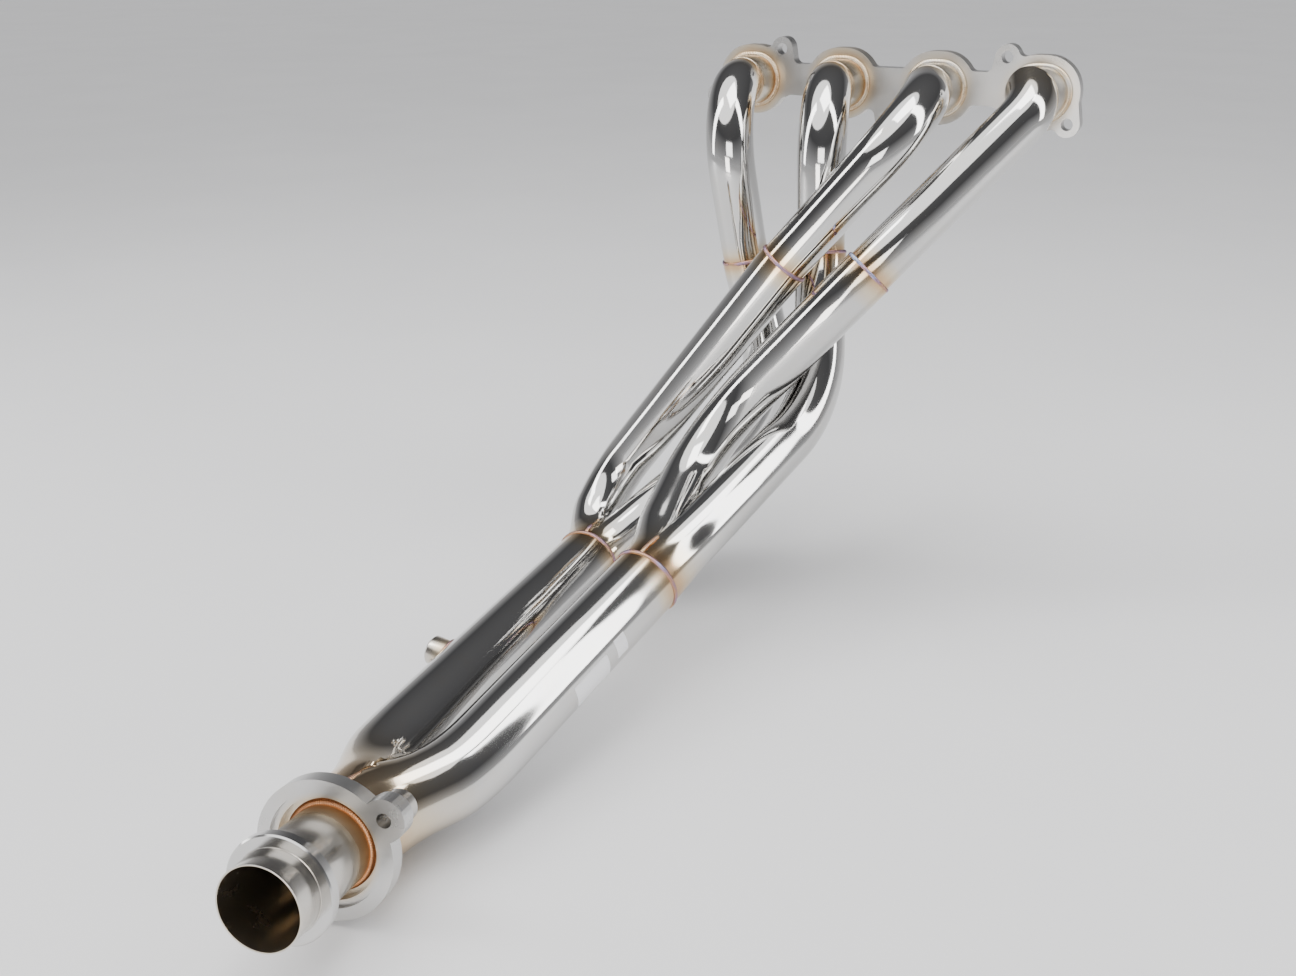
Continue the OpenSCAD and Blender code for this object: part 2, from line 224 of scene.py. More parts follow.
def new_object(name, verts, faces, material, heat=None, smooth_angle=40):
    mesh = bpy.data.meshes.new(name)
    mesh.from_pydata([tuple(v) for v in verts], [], faces)
    mesh.validate()
    mesh.shade_smooth()
    mesh.set_sharp_from_angle(angle=math.radians(smooth_angle))
    if heat is not None:
        layer = mesh.attributes.new("_HEAT", "FLOAT", "POINT")
        layer.data.foreach_set("value", heat)
    mesh.materials.append(material)
    piece = bpy.data.objects.new(name, mesh)
    bpy.context.scene.collection.objects.link(piece)
    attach(piece, BODY)
    return piece


def skin(name, rings, material, heat=None, ring_closed=True, run_closed=True, **options):
    """One mesh through rings of equally many points; heat holds one value for each ring or point."""
    size = len(rings[0])
    count = len(rings)
    verts = [p for ring in rings for p in ring]
    faces = []
    for i in range(count if run_closed else count - 1):
        a, b = i * size, (i + 1) % count * size
        for j in range(size if ring_closed else size - 1):
            k = (j + 1) % size
            faces.append((a + j, b + j, b + k, a + k))
    if heat is not None and len(heat) == count:
        heat = [h for h in heat for _ in range(size)]
    return new_object(name, verts, faces, material, heat, **options)


def circle(f, r):
    point, x, y, _ = f
    turn = 2 * math.pi / SIDES
    return [point + r * (math.cos(j * turn) * x + math.sin(j * turn) * y) for j in range(SIDES)]


def tube(name, line, r, material, start_cut=None, end_cut=None, mouth=None, heat_of=None):
    """A hollow tube; its ends lie on the cut planes, and its last stretch is formed to the mouth."""
    stations = frames_of(line)
    last = len(stations) - 1
    end = stations[last][0]

    def ring(i, radius, inset):
        points = circle(stations[i], radius)
        cut = start_cut if i == 0 else end_cut if i == last else None
        if cut:
            points = [onto_plane(q, stations[i][3], *cut) for q in points]
        left_over = (end - stations[i][0]).length
        if mouth and left_over <= PRESS_LEN:
            share = smooth(1 - left_over / FORM_LEN)
            ease = PRESS_EASE * max(0.0, left_over - FORM_LEN)
            points = [formed(q, mouth, radius, inset, share, ease) for q in points]
        return points

    outer = [ring(i, r, 0) for i in range(last + 1)]
    inner = [ring(i, r - WALL, WALL) for i in range(last, -1, -1)]
    lengths = arc_lengths(line)
    heat = [heat_of(s, lengths[-1] - s) if heat_of else 0.0 for s in lengths]
    return skin(name, outer + inner, material, heat + heat[::-1])


def near(distance, reach):
    """1 at a weld, falling to 0 at about twice the reach."""
    return math.exp(-(distance / reach) ** 2)


def lathe(name, profile, centre, direction, material, side=Vector((1, 0, 0)), heat=None, count=SIDES):
    """A closed (radius, height) profile turned about the axis through centre along direction."""
    x = flat(side, direction)
    y = direction.cross(x)
    rings = []
    for r, h in profile:
        rings.append([centre + h * direction + r * (math.cos(a) * x + math.sin(a) * y)
                      for a in (2 * math.pi * j / count for j in range(count))])
    return skin(name, rings, material, heat, smooth_angle=30)


def weld_bead(name, path, outward, material, width, height, pitch, seed, closed=True, heat=0.6):
    """A rippled bead along a path. outward is the direction away from the joint at each point."""
    rng = random.Random(seed)
    count = len(path)
    section = 12
    wander = [rng.uniform(-1, 1) for _ in range(64)]
    length = sum((path[(i + 1) % count] - path[i]).length for i in range(count if closed else count - 1))
    ripples = max(3, round(length / pitch))
    rings = []
    heats = []
    for i in range(count):
        before = path[i - 1] if closed or i > 0 else path[i]
        after = path[(i + 1) % count] if closed or i < count - 1 else path[i]
        tangent = (after - before).normalized()
        up = flat(outward[i], tangent)
        across = tangent.cross(up)
        turn = i / count
        drift = sum(wander[k] * math.sin(2 * math.pi * (k + 1) * turn + k) / (k + 2) for k in range(9))
        taper = 1.0 if closed else smooth(min(i, count - 1 - i) / (0.06 * count))
        ring = []
        for j in range(section):
            a = 2 * math.pi * j / section
            u, v = math.cos(a), math.sin(a)
            phase = turn * ripples + 0.35 * u * u
            ripple = abs(math.sin(math.pi * phase)) ** 0.7
            swell = (1 + 0.1 * drift) * taper
            w = width / 2 * (0.93 + 0.07 * ripple) * swell
            h = height * (0.78 + 0.22 * ripple) * swell if v > 0 else height * 0.5
            ring.append(path[i] + across * w * u + up * h * v)
            value = heat + 0.18 * drift + 0.12 * (ripple - 0.5) + 0.1 * (1 - abs(u))
            heats.append(max(0.0, min(1.0, value)))
        rings.append(ring)
    return skin(name, rings, material, heats, run_closed=closed, smooth_angle=60)


def ring_path(centre, direction, r, spread=0.0, count=900, side=Vector((1, 0, 0))):
    """Points round a slot outline, and the direction from its axis at each."""
    x = flat(side, direction)
    y = direction.cross(x)
    points, radials = [], []
    for k in range(count):
        a = 2 * math.pi * k / count
        radial = math.cos(a) * x + math.sin(a) * y
        lean = spread * math.tanh(6 * math.cos(a))
        points.append(centre + r * radial + lean * x)
        radials.append(radial)
    return points, radials


# ---------------------------------------------------------------- materials
def material(name):
    m = bpy.data.materials.new(name)
    m.use_nodes = True
    m.node_tree.nodes.clear()
    return m, m.node_tree.nodes, m.node_tree.links


def ramp(nodes, links, source, stops):
    node = nodes.new("ShaderNodeValToRGB")
    node.color_ramp.elements[0].position, node.color_ramp.elements[0].color = stops[0]
    node.color_ramp.elements[1].position, node.color_ramp.elements[1].color = stops[-1]
    for position, colour in stops[1:-1]:
        node.color_ramp.elements.new(position).color = colour
    links.new(source, node.inputs["Fac"])
    return node.outputs["Color"]


def noise(nodes, links, vector, scale, detail=3.0, roughness=0.5):
    node = nodes.new("ShaderNodeTexNoise")
    node.inputs["Scale"].default_value = scale
    node.inputs["Detail"].default_value = detail
    node.inputs["Roughness"].default_value = roughness
    links.new(vector, node.inputs["Vector"])
    return node.outputs["Fac"]


def remap(nodes, links, source, low, high):
    node = nodes.new("ShaderNodeMapRange")
    node.inputs["To Min"].default_value = low
    node.inputs["To Max"].default_value = high
    links.new(source, node.inputs["Value"])
    return node.outputs["Result"]


def add(nodes, links, a, b, scale=1.0):
    node = nodes.new("ShaderNodeMath")
    node.operation = "MULTIPLY_ADD"
    links.new(b, node.inputs[0])
    node.inputs[1].default_value = scale
    links.new(a, node.inputs[2])
    return node.outputs["Value"]


def stretched(nodes, links, vector, scale):
    node = nodes.new("ShaderNodeMapping")
    node.inputs["Scale"].default_value = scale
    links.new(vector, node.inputs["Vector"])
    return node.outputs["Vector"]


# Oxide colours of heated stainless steel, from bare through straw and brown to purple and blue
TINTS = [
    (0.0, rgb(0.58, 0.575, 0.565)),
    (0.22, rgb(0.64, 0.55, 0.42)),
    (0.42, rgb(0.58, 0.40, 0.23)),
    (0.58, rgb(0.44, 0.25, 0.15)),
    (0.72, rgb(0.36, 0.22, 0.30)),
    (0.86, rgb(0.27, 0.32, 0.50)),
    (1.0, rgb(0.42, 0.42, 0.45)),
]


def halo(nodes, links, where, axis, centre, radius, reach, strength):
    """Heat of a plate near a weld: strength inside the radius about the axis, fading over the reach."""
    from_centre = nodes.new("ShaderNodeVectorMath")
    from_centre.operation = "SUBTRACT"
    links.new(where, from_centre.inputs[0])
    from_centre.inputs[1].default_value = centre
    square = nodes.new("ShaderNodeVectorMath")
    square.operation = "CROSS_PRODUCT"
    links.new(from_centre.outputs["Vector"], square.inputs[0])
    square.inputs[1].default_value = axis
    distance = nodes.new("ShaderNodeVectorMath")
    distance.operation = "LENGTH"
    links.new(square.outputs["Vector"], distance.inputs[0])
    fade = nodes.new("ShaderNodeMapRange")
    fade.interpolation_type = "SMOOTHSTEP"
    fade.inputs["From Min"].default_value = radius
    fade.inputs["From Max"].default_value = radius + reach
    fade.inputs["To Min"].default_value = strength
    fade.inputs["To Max"].default_value = 0.0
    links.new(distance.outputs["Value"], fade.inputs["Value"])
    return fade.outputs["Result"]


def steel(name, tints=TINTS, rough=(0.05, 0.13), wave=0.0, grain=None, grain_depth=0.0, tint_noise=0.12,
          heat_rough=0.12, halos=()):
    """Bare stainless steel: heat tint, uneven gloss and fine surface relief.

    The heat is the piece's own _HEAT value at each vertex, and on the plates the fading halos."""
    m, nodes, links = material(name)
    out = nodes.new("ShaderNodeOutputMaterial")
    shader = nodes.new("ShaderNodeBsdfPrincipled")
    shader.inputs["Metallic"].default_value = 1.0
    where = nodes.new("ShaderNodeTexCoord").outputs["Object"]
    heat = nodes.new("ShaderNodeAttribute")
    heat.attribute_name = "_HEAT"
    blotches = noise(nodes, links, where, 60.0, 4.0, 0.6)
    centred = remap(nodes, links, blotches, -0.5, 0.5)
    hot = heat.outputs["Fac"]
    for spot in halos:
        hot = add(nodes, links, hot, halo(nodes, links, where, *spot))
    heat_value = add(nodes, links, hot, centred, tint_noise)
    links.new(ramp(nodes, links, heat_value, tints), shader.inputs["Base Color"])
    smears = noise(nodes, links, where, 35.0, 5.0, 0.65)
    base_rough = remap(nodes, links, smears, *rough)
    links.new(add(nodes, links, base_rough, hot, heat_rough), shader.inputs["Roughness"])
    height = noise(nodes, links, where, 14.0, 1.0)
    bump = nodes.new("ShaderNodeBump")
    bump.inputs["Distance"].default_value = wave
    links.new(height, bump.inputs["Height"])
    normal = bump.outputs["Normal"]
    if grain:
        fine = nodes.new("ShaderNodeBump")
        fine.inputs["Distance"].default_value = grain_depth
        links.new(noise(nodes, links, stretched(nodes, links, where, grain), 1.0, 4.0, 0.7),
                  fine.inputs["Height"])
        links.new(normal, fine.inputs["Normal"])
        normal = fine.outputs["Normal"]
    links.new(normal, shader.inputs["Normal"])
    links.new(shader.outputs["BSDF"], out.inputs["Surface"])
    return m


POLISHED = steel("polished_tube", rough=(0.04, 0.11), wave=0.0006, grain=(900, 900, 900),
                 grain_depth=0.000004)
STUB = steel("port_stub", rough=(0.16, 0.30), wave=0.0008, grain=(500, 500, 500), grain_depth=0.00003)
PORTS = [Vector(((i - 1.5) * PORT_PITCH, 0, 0)) for i in range(4)]
PLATE_FINISH = dict(rough=(0.22, 0.36), wave=0.0003, grain=(60, 2500, 2500), grain_depth=0.00002)
HEAD_PLATE = steel("flange_plate", halos=[
    ((0, 1, 0), port, PORT_R + STUB_WALL + 3 * MM, 13 * MM, 0.36 * heat)
    for port, heat in zip(PORTS, PORT_HEAT)], **PLATE_FINISH)
OUTLET_PLATE = steel("outlet_plate", halos=[(OUTLET_DIR, OUTLET_BACK, 33 * MM, 9 * MM, 0.24)],
                     **PLATE_FINISH)
FOIL = steel("foil", [(0.0, rgb(0.90, 0.90, 0.91)), (1.0, rgb(0.82, 0.82, 0.84))],
             rough=(0.34, 0.50), wave=0.0008)
BEAD = steel("weld_bead", rough=(0.14, 0.30), wave=0.0002, grain=(700, 700, 700), grain_depth=0.00002,
             tint_noise=0.7)
TURNED = steel("turned_steel", rough=(0.10, 0.22), wave=0.0001, grain=(300, 3000, 300), grain_depth=0.00001,
               heat_rough=0.6)
COPPER = steel("outlet_bead", [
    (0.0, rgb(0.62, 0.48, 0.36)),
    (0.5, rgb(0.62, 0.30, 0.14)),
    (1.0, rgb(0.30, 0.14, 0.10)),
], rough=(0.20, 0.36), wave=0.0002, grain=(700, 700, 700), grain_depth=0.00003, tint_noise=0.6)


# ---------------------------------------------------------------- primaries, from port to merge
STUB_END = [port - Vector((0, FLANGE_T + STUB_LEN, 0)) for port in PORTS]
STEP_AT = [STEP_FOLLOW * port - Vector((0, FLANGE_T + STUB_LEN, 0)) + step
           for port, step in zip(PORTS, STEP_FROM_MIDDLE)]
PAIRS = [("left", 1), ("right", 1), ("left", -1), ("right", -1)]
MOUTHS = {"left": (LEFT_MOUTH, LEFT_DIR, LEFT_SIDE), "right": (RIGHT_MOUTH, RIGHT_DIR, RIGHT_SIDE)}


def primary_line(i):
    at, _, side = MOUTHS[PAIRS[i][0]]
    start = STUB_END[i]
    end = at + PAIRS[i][1] * MOUTH_SPREAD * side
    return centre_line([start, start + KNEE_FROM_STUB[i], STEP_AT[i], LOWER_BEND[i], end],
                       [KNEE_R[i], STEP_R[i], LOWER_BEND_R[i]])


def split_at_step(line, z):
    """The upper and the lower part of a line, cut where it first passes below z."""
    k = next(k for k, (p, _) in enumerate(line) if p.z < z)
    a, b = line[k - 1], line[k]
    t = (z - a[0].z) / (b[0].z - a[0].z)
    cut = (a[0].lerp(b[0], t), a[1].lerp(b[1], t).normalized())
    return line[:k] + [cut], [cut] + line[k:]


def make_stub(i):
    """The throat between plate and tube: a slot outline that turns round."""
    steps = 14
    number = i + 1

    def station(k, inset):
        t = k / steps
        r = mix(PORT_R + STUB_WALL, UPPER_R, smooth(t)) - inset
        y = -FLANGE_T - STUB_LEN * t
        points = []
        for j in range(SIDES):
            a = 2 * math.pi * j / SIDES
            lean = PORT_SPREAD * (1 - t) * math.tanh(6 * math.cos(a))
            points.append(Vector((PORTS[i].x + r * math.cos(a) + lean, y, r * math.sin(a))))
        return points

    outer = [station(k, 0) for k in range(steps + 1)]
    inner = [station(k, mix(STUB_WALL, WALL, k / steps)) for k in range(steps, -1, -1)]
    heat = [PORT_HEAT[i] * (0.12 + 0.5 * near(k / steps, 0.35) + 0.25 * near(1 - k / steps, 0.15))
            for k in range(steps + 1)]
    stub = skin(f"stub_{number}", outer + inner, STUB, heat + [0.26] * (steps + 1))
    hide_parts(f"port_stub_{number}")
    foot = PORTS[i] - Vector((0, FLANGE_T, 0))
    out = Vector((0, -1, 0))
    points, radials = ring_path(foot + out * 0.8 * MM, out, PORT_R + STUB_WALL + 0.6 * MM, PORT_SPREAD,
                                1100)
    bead = weld_bead(f"port_bead_{number}", points, [r + 0.9 * out for r in radials], BEAD,
                     6.2 * MM, 2.3 * MM, 1.7 * MM, 11 + i, heat=0.10 + 0.12 * PORT_HEAT[i])
    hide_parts(f"port_weld_{number}")
    points, radials = ring_path(STUB_END[i], out, UPPER_R - 0.2 * MM, 0.0, 700)
    rim = weld_bead(f"stub_bead_{number}", points, radials, BEAD, 2.4 * MM, 0.9 * MM, 1.2 * MM, 31 + i,
                    heat=0.05 + 0.2 * PORT_HEAT[i])


def make_primary(i):
    number = i + 1
    pair, sign = PAIRS[i]
    at, direction, side = MOUTHS[pair]
    upper, lower = split_at_step(primary_line(i), STEP_AT[i].z)
    step = upper[-1]
    port_plane = (upper[0][0], Vector((0, -1, 0)))

    def upper_heat(s, left):
        return PORT_HEAT[i] * 0.50 * near(s, 16 * MM) + 0.48 * near(left, 12 * MM)

    def lower_heat(s, left):
        return 0.48 * near(s, 12 * MM) + 0.52 * near(left, 24 * MM)

    top = tube(f"upper_tube_{number}", upper, UPPER_R, POLISHED, port_plane, step, heat_of=upper_heat)
    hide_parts(f"upper_primary_{number}")
    mouth = (at, direction, -sign * side, SECONDARY_R, MOUTH_SPREAD)
    bottom = tube(f"lower_tube_{number}", lower, LOWER_R, POLISHED, step, (at, direction), mouth,
                  lower_heat)
    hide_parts(f"lower_primary_{number}")
    points, radials = ring_path(step[0] - 0.3 * MM * step[1], step[1], (UPPER_R + LOWER_R) / 2 - 0.4 * MM)
    outward = [r - 0.35 * step[1] for r in radials]
    bead = weld_bead(f"step_bead_{number}", points, outward, BEAD, 3.8 * MM, 1.5 * MM, 1.5 * MM, 51 + i,
                     heat=0.62)
    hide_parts(f"step_weld_{number}")
    return lower


# ---------------------------------------------------------------- merges, secondaries and collector
def crotch_path(line_a, line_b, mouth, tube_r, length, count, top=1):
    """The seam between two tubes that share a mouth, from the mouth upstream."""
    centre, direction, side, radius, _ = mouth
    height_dir = direction.cross(side) * top

    def height(line, s):
        end = line[-1][0]
        at = min(line, key=lambda station: abs((end - station[0]).length - s))
        v = at[0] - centre
        away = abs(v.dot(side))
        natural = math.sqrt(max(0.0, tube_r ** 2 - away ** 2))
        share = smooth(1 - s / FORM_LEN)
        return v.dot(height_dir) + mix(natural, radius, share)

    points = []
    for k in range(count):
        s = length * k / (count - 1)
        low = min(height(line_a, s), height(line_b, s))
        points.append(centre - s * direction + low * height_dir)
    return smoothed(points), [height_dir] * count


def smoothed(points):
    """The same path with its wobble taken out: points on one cubic."""
    count = len(points)
    a, b, c, d = (points[round(t * (len(points) - 1))] for t in (0, 1 / 3, 2 / 3, 1))
    out = []
    for k in range(count):
        t = 3 * k / (count - 1)
        out.append(-a * (t - 1) * (t - 2) * (t - 3) / 6 + b * t * (t - 2) * (t - 3) / 2
                   - c * t * (t - 1) * (t - 3) / 2 + d * t * (t - 1) * (t - 2) / 6)
    return out


def make_merge(pair, line_a, line_b, seed):
    at, direction, side = MOUTHS[pair]
    points, radials = ring_path(at + 0.4 * MM * direction, direction, SECONDARY_R - 0.2 * MM, 0.0, 1000)
    bead = weld_bead(f"merge_bead_{pair}", points, radials, BEAD, 4.2 * MM, 1.7 * MM, 1.6 * MM, seed,
                     heat=0.58)
    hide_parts(f"merge_weld_{pair}")
    mouth = (at, direction, side, SECONDARY_R, MOUTH_SPREAD)
    for end, top in (("top", 1), ("bottom", -1)):
        path, outward = crotch_path(line_a, line_b, mouth, LOWER_R, 26 * MM, 260, top)
        seam = weld_bead(f"merge_seam_{pair}_{end}", path, outward, BEAD, 3.6 * MM, 1.0 * MM,
                         1.5 * MM, seed + 7 * top, closed=False, heat=0.45)


def secondary_line(start, bend, sign):
    end = COLLECTOR_MOUTH + sign * COLLECTOR_SPREAD * COLLECTOR_SIDE
    return centre_line([start, bend, end], [SECONDARY_BEND_R])


def make_secondary(pair, bend, sign):
    at, direction, _ = MOUTHS[pair]
    line = secondary_line(at, bend, sign)
    mouth = (COLLECTOR_MOUTH, COLLECTOR_DIR, -sign * COLLECTOR_SIDE, COLLECTOR_R, COLLECTOR_SPREAD)

    def heat_of(s, left):
        return 0.50 * near(s, 16 * MM) + 0.34 * near(left, 45 * MM)

    piece = tube(f"secondary_tube_{pair}", line, SECONDARY_R, POLISHED, (at, direction),
                 (COLLECTOR_MOUTH, COLLECTOR_DIR), mouth, heat_of)
    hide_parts(f"secondary_{pair}")
    return line


def make_collector(left_line, right_line):
    """The short round piece that turns from the secondaries' mouth to the outlet flange."""
    steps = 24
    h = COLLECTOR_LEN / 3
    a = COLLECTOR_MOUTH + h * COLLECTOR_DIR
    b = OUTLET_BACK - h * OUTLET_DIR

    def station(k, inset):
        t = k / steps
        d = COLLECTOR_DIR.lerp(OUTLET_DIR, smooth(t)).normalized()
        x = flat(COLLECTOR_SIDE, d)
        c = (COLLECTOR_MOUTH * (1 - t) ** 3 + a * 3 * t * (1 - t) ** 2 + b * 3 * t * t * (1 - t)
             + OUTLET_BACK * t ** 3)
        return circle((c, x, d.cross(x), d), mix(COLLECTOR_R, COLLECTOR_END_R, t) - inset)

    rings = [station(k, 0) for k in range(steps + 1)] + [station(k, WALL) for k in range(steps, -1, -1)]
    heat = [0.15 + 0.3 * near(1 - k / steps, 0.4) for k in range(steps + 1)]
    piece = skin("collector_cone", rings, POLISHED, heat + [0.3] * (steps + 1))
    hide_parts("collector")
    mouth = (COLLECTOR_MOUTH, COLLECTOR_DIR, COLLECTOR_SIDE, COLLECTOR_R, COLLECTOR_SPREAD)
    for end, top in (("top", 1), ("bottom", -1)):
        path, outward = crotch_path(left_line, right_line, mouth, SECONDARY_R, 50 * MM, 420, top)
        seam = weld_bead(f"collector_seam_{end}", path, outward, BEAD, 5 * MM, 1.4 * MM, 1.7 * MM,
                         91 + top, closed=False, heat=0.45)
    points, radials = ring_path(COLLECTOR_MOUTH, COLLECTOR_DIR, COLLECTOR_R - 0.4 * MM, 0.0, 1100)
    ring = weld_bead("collector_bead", points, radials, BEAD, 4.2 * MM, 1.4 * MM, 1.7 * MM, 97, heat=0.3)


# ---------------------------------------------------------------- outlet
def rounded(corners, edge, steps=4):
    """A closed (radius, height) profile with each of its corners rounded."""
    profile = []
    count = len(corners)
    for k, (r, h) in enumerate(corners):
        here = Vector((r, h))
        before = (Vector(corners[k - 1]) - here).normalized() * edge
        after = (Vector(corners[(k + 1) % count]) - here).normalized() * edge
        for j in range(steps + 1):
            t = j / steps
            p = here + before * (1 - t) ** 2 + after * t ** 2
            profile.append((p.x, p.y))
    return profile


def threaded(hole_r, depth_r, low, high, pitch):
    """Points down a threaded hole from high to low, as (radius, height)."""
    count = int((high - low) / pitch)
    points = []
    for k in range(count):
        top = high - k * pitch
        points += [(hole_r, top), (hole_r, top - 0.15 * pitch), (depth_r, top - 0.5 * pitch),
                   (depth_r, top - 0.6 * pitch), (hole_r, top - 0.95 * pitch)]
    return points


def make_outlet():
    rim = OUTLET_T + SPIGOT_REACH
    nose_r = SPIGOT_R - NOSE_CUT
    bore_r = SPIGOT_R - WALL
    wall = rounded([(nose_r, rim), (bore_r, rim), (bore_r, -SPIGOT_LIP), (SPIGOT_R, -SPIGOT_LIP),
                    (SPIGOT_R, rim - NOSE_LEN), (nose_r, rim - NOSE_LEN)], 0.22 * MM)
    long_wall = []
    for (ra, ha), (rb, hb) in zip(wall, wall[1:] + wall[:1]):
        count = max(1, round(abs(hb - ha) / (3 * MM)))
        long_wall += [(mix(ra, rb, k / count), mix(ha, hb, k / count)) for k in range(count)]

    def heat(r, h):
        inside = r < SPIGOT_R - WALL / 2
        return 0.16 if inside else 0.06 + 0.38 * near(h - OUTLET_WEB, 14 * MM)

    spigot = lathe("spigot_tube", long_wall, OUTLET_BACK, OUTLET_DIR, TURNED,
                   heat=[heat(r, h) for r, h in long_wall])
    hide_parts("outlet_spigot")
    points, radials = ring_path(OUTLET_BACK + (OUTLET_WEB + 0.8 * MM) * OUTLET_DIR, OUTLET_DIR,
                                SPIGOT_R + 0.9 * MM, 0.0, 1200)
    bead = weld_bead("outlet_root_bead", points, [r + 0.8 * OUTLET_DIR for r in radials], COPPER, 5.6 * MM,
                     2.2 * MM, 1.7 * MM, 101, heat=0.45)
    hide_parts("outlet_weld")
    x = flat(Vector((1, 0, 0)), OUTLET_DIR)
    y = OUTLET_DIR.cross(x)
    bolt_line = math.cos(BOLT_TURN) * x + math.sin(BOLT_TURN) * y
    edge = 0.6 * MM
    thread = threaded(NUT_HOLE_R, NUT_HOLE_R + NUT_THREAD_DEPTH, edge, NUT_H - edge, THREAD_PITCH)
    profile = [(NUT_R - edge, 0), (NUT_R, edge), (NUT_R, NUT_H - edge), (NUT_R - edge, NUT_H),
               (NUT_HOLE_R + edge, NUT_H)] + thread + [(NUT_HOLE_R + edge, 0)]
    nuts = []
    for name, sign in (("upper", 1), ("lower", -1)):
        centre = OUTLET_BACK - NUT_H * OUTLET_DIR + sign * OUTLET_BOLT_R * bolt_line
        nuts.append(lathe(f"weld_nut_{name}", profile, centre, OUTLET_DIR, TURNED,
                          heat=[0.05] * len(profile)))
    for nut in nuts:
        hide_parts("outlet_nuts")


def make_bung():
    base = LEFT_MOUTH + BUNG_ALONG * LEFT_DIR
    up = flat(BUNG_TOWARD, LEFT_DIR)
    across = up.cross(LEFT_DIR)
    top = SECONDARY_R + BUNG_H
    edge = BUNG_EDGE
    depth_r = BUNG_HOLE_R + THREAD_DEPTH
    thread = threaded(BUNG_HOLE_R, depth_r, SECONDARY_R + 0.5 * MM, top - edge, THREAD_PITCH)
    foot = SECONDARY_R - 4 * MM
    outside = [(BUNG_R, foot), (BUNG_R, SECONDARY_R), (BUNG_R, top - edge - 0.3 * MM),
               (BUNG_R - 0.1 * MM, top - edge), (BUNG_R - edge, top - 0.1 * MM),
               (BUNG_R - edge - 0.3 * MM, top), (BUNG_HOLE_R + 1.0 * MM, top)]
    profile = outside + thread + [(BUNG_HOLE_R, foot)]
    heat = [0.5, 0.3] + [0.06] * (len(profile) - 2)
    bung = lathe("sensor_bung", profile, base, up, TURNED, side=LEFT_DIR, heat=heat)
    for v in bung.data.vertices:
        rel = v.co - base
        floor = math.sqrt(max(0.0, (SECONDARY_R + FIT) ** 2 - rel.dot(across) ** 2))
        if rel.dot(up) < floor:
            v.co += (floor - rel.dot(up)) * up
    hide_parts("oxygen_bung")
    points, outward = [], []
    count = 700
    for k in range(count):
        a = 2 * math.pi * k / count
        radial = math.cos(a) * LEFT_DIR + math.sin(a) * across
        r = BUNG_R + 0.7 * MM
        height = math.sqrt(SECONDARY_R ** 2 - (r * math.sin(a)) ** 2) + 0.5 * MM
        points.append(base + r * radial + height * up)
        outward.append(radial + 0.8 * up)
    bead = weld_bead("bung_bead", points, outward, BEAD, 4 * MM, 1.5 * MM, 1.4 * MM, 111, heat=0.4)
    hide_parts("oxygen_bung_weld")


def make_label(name, near_end, far_end, low, high):
    """A blank foil patch on the right secondary, between two distances from its mouth and two angles."""
    up = RIGHT_DIR.cross(RIGHT_SIDE)
    edge = 0.1 * MM
    rows = 24
    inner = [mix(near_end + edge, far_end - edge, k / rows) for k in range(rows + 1)]
    lengths = [near_end] + inner + [far_end]
    rings = []
    for k, s in enumerate(lengths):
        thick = 0.02 * MM if k in (0, len(lengths) - 1) else 0.12 * MM
        ring = []
        for j in range(49):
            a = mix(low, high, min(j, 48 - j) / 24)
            r = SECONDARY_R + (thick if j < 24 else 0.01 * MM)
            ring.append(RIGHT_MOUTH + s * RIGHT_DIR + r * (math.cos(a) * RIGHT_SIDE + math.sin(a) * up))
        rings.append(ring)
    skin(name, rings, FOIL, run_closed=False)


# ---------------------------------------------------------------- plates and collar keep their CAD shape
def finish_cad(node, look, edge):
    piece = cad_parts[node]
    piece.data.materials.clear()
    piece.data.materials.append(look)
    bevel = piece.modifiers.new("edges", "BEVEL")
    bevel.width = edge
    bevel.segments = 2
    bevel.limit_method = "ANGLE"
    bevel.angle_limit = math.radians(35)
    bevel.harden_normals = False
    smooth_by_angle(piece.data)


def smooth_by_angle(mesh):
    mesh.shade_smooth()
    mesh.set_sharp_from_angle(angle=math.radians(30))


# ---------------------------------------------------------------- floor, light and camera
def make_stage():
    m, nodes, links = material("pale_floor")
    shader = nodes.new("ShaderNodeBsdfPrincipled")
    shader.inputs["Roughness"].default_value = 0.55
    where = nodes.new("ShaderNodeTexCoord").outputs["Object"]
    links.new(ramp(nodes, links, noise(nodes, links, where, 3.0, 4.0), [
        (0.3, rgb(0.80, 0.80, 0.81)), (0.7, rgb(0.83, 0.83, 0.84))]), shader.inputs["Base Color"])
    out = nodes.new("ShaderNodeOutputMaterial")
    links.new(shader.outputs["BSDF"], out.inputs["Surface"])
    half = 60.0
    z = cad_lo.z - 0.0005
    mesh = bpy.data.meshes.new("floor")
    corners = [(-half, -half, z), (half, -half, z), (half, half, z), (-half, half, z)]
    mesh.from_pydata(corners, [], [(0, 1, 2, 3)])
    mesh.materials.append(m)
    floor = bpy.data.objects.new("floor", mesh)
    bpy.context.scene.collection.objects.link(floor)


def area_light(name, at, target, size, power, colour=(1, 1, 1)):
    light = bpy.data.lights.new(name, "AREA")
    light.shape = "RECTANGLE"
    light.size, light.size_y = size
    light.energy = power
    light.color = colour
    lamp = bpy.data.objects.new(name, light)
    lamp.location = at
    lamp.rotation_euler = (Vector(target) - Vector(at)).to_track_quat("-Z", "Y").to_euler()
    bpy.context.scene.collection.objects.link(lamp)


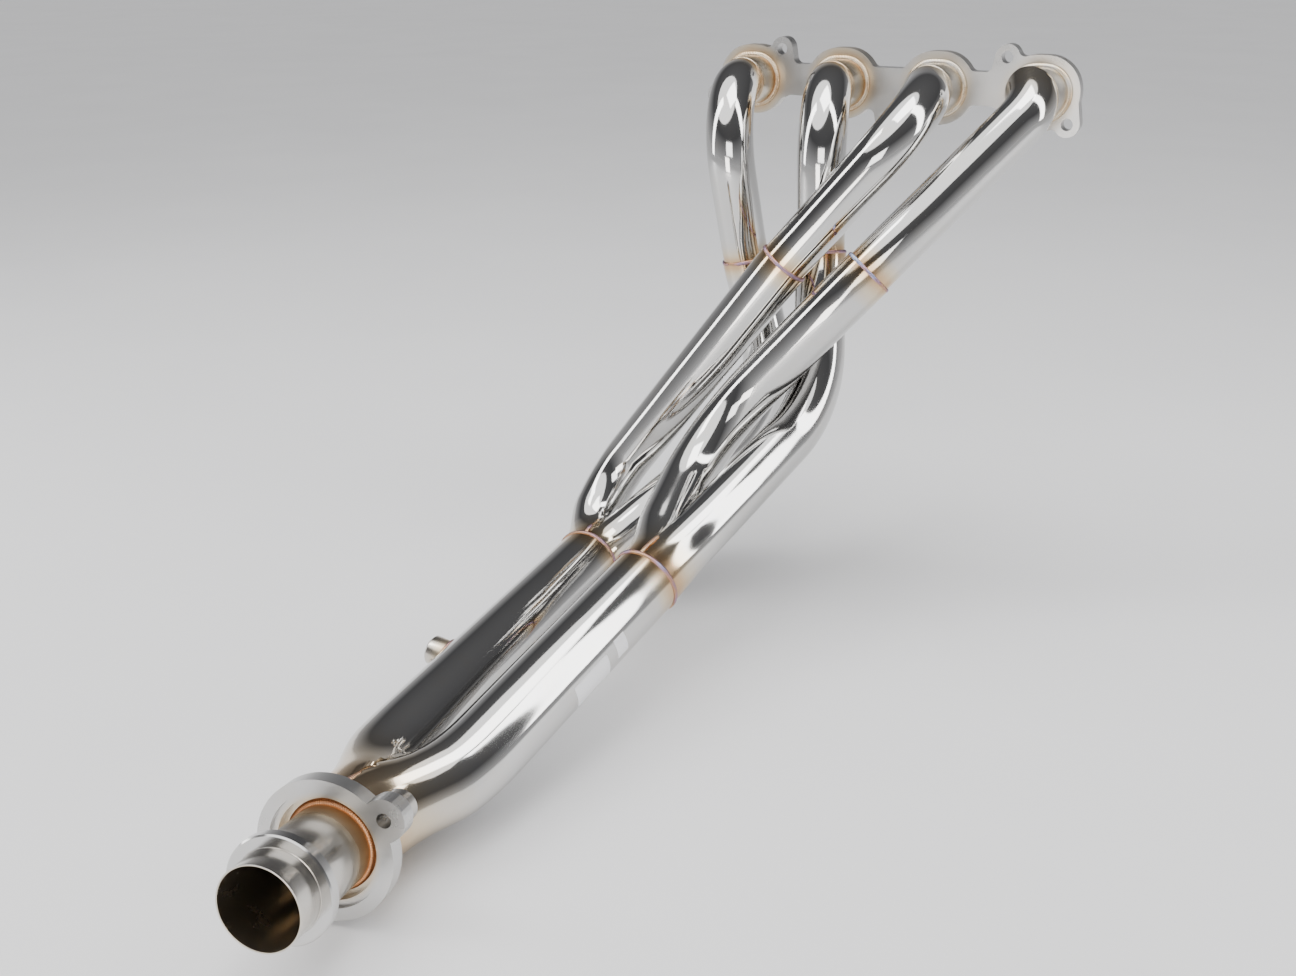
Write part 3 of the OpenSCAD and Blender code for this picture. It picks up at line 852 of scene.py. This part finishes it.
def make_light():
    centre = (cad_lo + cad_hi) / 2
    area_light("left_strip", centre + Vector((-1.6, -0.6, 1.1)), centre, (0.45, 2.6), 26)
    area_light("right_strip", centre + Vector((1.5, 0.5, 1.2)), centre, (0.4, 2.4), 24)
    area_light("top_box", centre + Vector((0.1, 0.2, 2.1)), centre, (1.0, 1.0), 18)
    area_light("front_fill", centre + Vector((0.9, -2.2, 0.9)), centre, (1.4, 0.8), 16)
    rim = OUTLET_AT + SPIGOT_REACH * OUTLET_DIR
    area_light("bore_fill", rim + 0.9 * OUTLET_DIR, rim, (0.5, 0.5), 5, (1.0, 0.96, 0.92))
    day = bpy.data.lights.new("even_light", "SUN")
    day.energy = 2.3
    day.angle = math.radians(70)
    lamp = bpy.data.objects.new("even_light", day)
    lamp.rotation_euler = (math.radians(12), math.radians(-10), 0)
    bpy.context.scene.collection.objects.link(lamp)
    world = bpy.data.worlds.new("studio")
    world.use_nodes = True
    nodes, links = world.node_tree.nodes, world.node_tree.links
    where = nodes.new("ShaderNodeTexCoord").outputs["Generated"]
    split = nodes.new("ShaderNodeSeparateXYZ")
    links.new(where, split.inputs["Vector"])
    shade = ramp(nodes, links, split.outputs["Z"], [
        (0.0, rgb(0.60, 0.60, 0.61)), (0.12, rgb(0.42, 0.42, 0.43)), (0.45, rgb(0.10, 0.10, 0.105)),
        (1.0, rgb(0.16, 0.16, 0.165))])
    links.new(shade, nodes["Background"].inputs["Color"])
    nodes["Background"].inputs["Strength"].default_value = 1.0
    bpy.context.scene.world = world


def make_camera():
    """A camera at the viewing angle: right, down and forward are its own axes in the part's frame."""
    right = Vector((0.866, 0.500, -0.013)).normalized()
    forward = flat(Vector((-0.452, 0.770, -0.450)), right)
    down = forward.cross(right)
    data = bpy.data.cameras.new("camera")
    data.sensor_width = 36.0
    data.lens = 32.15
    data.shift_x = -0.0193
    data.shift_y = 0.0183
    camera = bpy.data.objects.new("camera", data)
    turn = Matrix((right, -down, -forward)).transposed()
    camera.matrix_world = Matrix.Translation(mm(403.44, -1110.91, 135.02)) @ turn.to_4x4()
    bpy.context.scene.collection.objects.link(camera)
    bpy.context.scene.camera = camera


# ---------------------------------------------------------------- the whole
make_camera()
make_stage()
make_light()
lower_lines = []
for i in range(4):
    make_stub(i)
    lower_lines.append(make_primary(i))
make_merge("left", lower_lines[0], lower_lines[2], 71)
make_merge("right", lower_lines[1], lower_lines[3], 81)
left_line = make_secondary("left", LEFT_BEND, -1)
right_line = make_secondary("right", RIGHT_BEND, 1)
make_collector(left_line, right_line)
make_outlet()
make_bung()
make_label("label_large", 92 * MM, 133 * MM, math.radians(-27), math.radians(16))
make_label("label_small", 68 * MM, 81 * MM, math.radians(-12), math.radians(22))
finish_cad("head_flange", HEAD_PLATE, 0.5 * MM)
finish_cad("outlet_flange", OUTLET_PLATE, 0.5 * MM)
finish_cad("spigot_collar", TURNED, 0.3 * MM)
